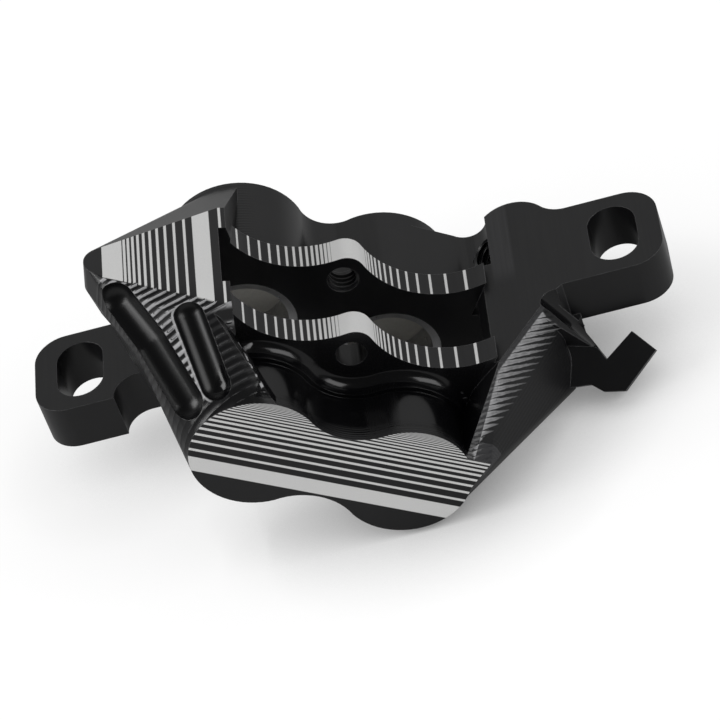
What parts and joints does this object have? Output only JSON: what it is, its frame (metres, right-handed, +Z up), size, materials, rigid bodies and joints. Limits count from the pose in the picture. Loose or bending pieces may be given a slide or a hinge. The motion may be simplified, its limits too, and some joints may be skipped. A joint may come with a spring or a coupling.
{
  "type": "bicycle disc brake caliper",
  "caption": "Machined post-mount bicycle disc brake caliper: one-piece body bridged over the rotor slot, with opposed pistons, seals and screwed bore caps.",
  "frame": {"origin": "midway between the two mounting bolts, on the plane where the ears seat on the posts", "axes": "+X along the ears from the left bolt to the right bolt, +Y from the wheel side to the frame side (the rotor's axle direction), +Z up the mounting bolts, away from the posts"},
  "size_m": [0.0866, 0.0431, 0.0424],
  "materials": {
    "body_black": "black anodised, milled, satin",
    "cap_black": "black anodised, turned",
    "piston_steel": "turned stainless",
    "insulator": "moulded phenolic",
    "seal_rubber": "matte"
  },
  "bodies": {
    "caliper": {"caliper_body": "body_black", "left_cap": "cap_black", "right_cap": "cap_black", "left_cap_ring": "seal_rubber", "right_cap_ring": "seal_rubber", "wheel_left_seal": "seal_rubber", "wheel_right_seal": "seal_rubber", "frame_left_seal": "seal_rubber", "frame_right_seal": "seal_rubber", "wheel_left_wiper": "seal_rubber", "wheel_right_wiper": "seal_rubber", "frame_left_wiper": "seal_rubber", "frame_right_wiper": "seal_rubber"},
    "wheel_left_plunger": {"wheel_left_piston": "piston_steel", "wheel_left_insulator": "insulator"},
    "wheel_right_plunger": {"wheel_right_piston": "piston_steel", "wheel_right_insulator": "insulator"},
    "frame_left_plunger": {"frame_left_piston": "piston_steel", "frame_left_insulator": "insulator"},
    "frame_right_plunger": {"frame_right_piston": "piston_steel", "frame_right_insulator": "insulator"}
  },
  "joints": [
    {"name": "wheel_left_slide", "type": "slide", "parent": "caliper", "child": "wheel_left_plunger", "axis": [0, 1, 0], "range_m": [0, 0.003]},
    {"name": "wheel_right_slide", "type": "slide", "parent": "caliper", "child": "wheel_right_plunger", "axis": [0, 1, 0], "range_m": [0, 0.003]},
    {"name": "frame_left_slide", "type": "slide", "parent": "caliper", "child": "frame_left_plunger", "axis": [0, -1, 0], "range_m": [0, 0.003]},
    {"name": "frame_right_slide", "type": "slide", "parent": "caliper", "child": "frame_right_plunger", "axis": [0, -1, 0], "range_m": [0, 0.003]}
  ],
  "couplings": [
    {"joint": "wheel_right_slide", "follows": "wheel_left_slide", "ratio": 1},
    {"joint": "frame_left_slide", "follows": "wheel_left_slide", "ratio": 1},
    {"joint": "frame_right_slide", "follows": "wheel_left_slide", "ratio": 1}
  ]
}
